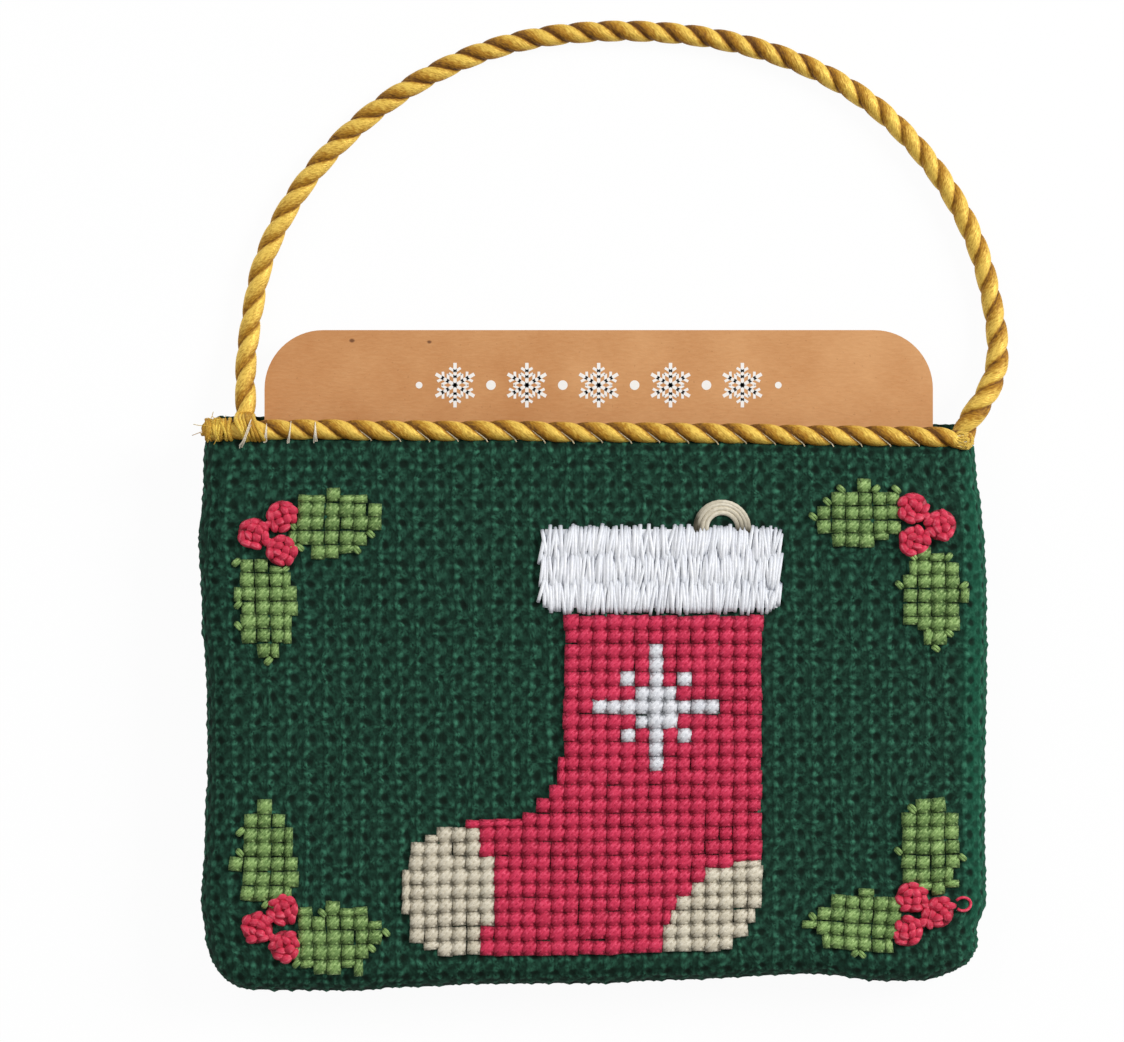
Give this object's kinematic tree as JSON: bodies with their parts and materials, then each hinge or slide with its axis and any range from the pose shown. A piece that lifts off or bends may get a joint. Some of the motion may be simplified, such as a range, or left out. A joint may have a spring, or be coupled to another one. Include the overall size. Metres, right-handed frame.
{
  "type": "gift card holder",
  "caption": "Lined cloth pouch with an embroidered front, cord-edged mouth and swinging cord handle, holding a paper gift card that slides out.",
  "frame": {"origin": "middle of the back cloth, on the face that rests on the table", "axes": "+X to the right across the front, +Y towards the mouth and the handle, +Z out of the embroidered front, up from the table"},
  "size_m": [0.1024, 0.1234, 0.0109],
  "materials": {
    "green_cloth": "dark green evenweave cotton, matt",
    "lining_cloth": "near-black plain cotton lining, matt",
    "seam_thread": "dark green sewing thread",
    "gold_cord": "three-strand twisted cord of gold metallic yarn, soft sheen",
    "gold_thread": "gold sewing thread, soft sheen",
    "white_thread": "off-white sewing thread",
    "red_floss": "crimson stranded embroidery cotton, soft sheen",
    "white_floss": "white stranded embroidery cotton, soft sheen",
    "cream_floss": "cream stranded embroidery cotton, soft sheen",
    "leaf_floss": "leaf green stranded embroidery cotton, soft sheen",
    "kraft_paper": "brown kraft card, matt, with fine fibres"
  },
  "bodies": {
    "pouch": {"front_panel": "green_cloth", "back_panel": "green_cloth", "front_lining": "lining_cloth", "back_lining": "lining_cloth", "seam_stitches": "seam_thread", "trim_cord": "gold_cord", "trim_stitches": "white_thread", "trim_end_wrap": "gold_thread", "handle_end_left": "gold_cord", "handle_end_right": "gold_cord", "handle_tack_left": "gold_thread", "handle_tack_right": "gold_thread", "stocking_leg": "red_floss", "stocking_toe": "cream_floss", "stocking_heel": "cream_floss", "stocking_star": "white_floss", "stocking_cuff": "white_floss", "stocking_loop": "cream_floss", "holly_leaves_top_left": "leaf_floss", "holly_berries_top_left": "red_floss", "holly_leaves_top_right": "leaf_floss", "holly_berries_top_right": "red_floss", "holly_leaves_bottom_left": "leaf_floss", "holly_berries_bottom_left": "red_floss", "holly_leaves_bottom_right": "leaf_floss", "holly_berries_bottom_right": "red_floss"},
    "card": {"gift_card": "kraft_paper"},
    "handle": {"handle_cord": "gold_cord"}
  },
  "joints": [
    {"name": "card_slide", "type": "slide", "parent": "pouch", "child": "card", "axis": [0, 1, 0], "range_m": [-0.0272, 0.0445]},
    {"name": "handle_swing", "type": "hinge", "parent": "pouch", "child": "handle", "pos_m": [0, 0.03815, 0.0037], "axis": [1, 0, 0], "range_deg": [0, 95]}
  ]
}
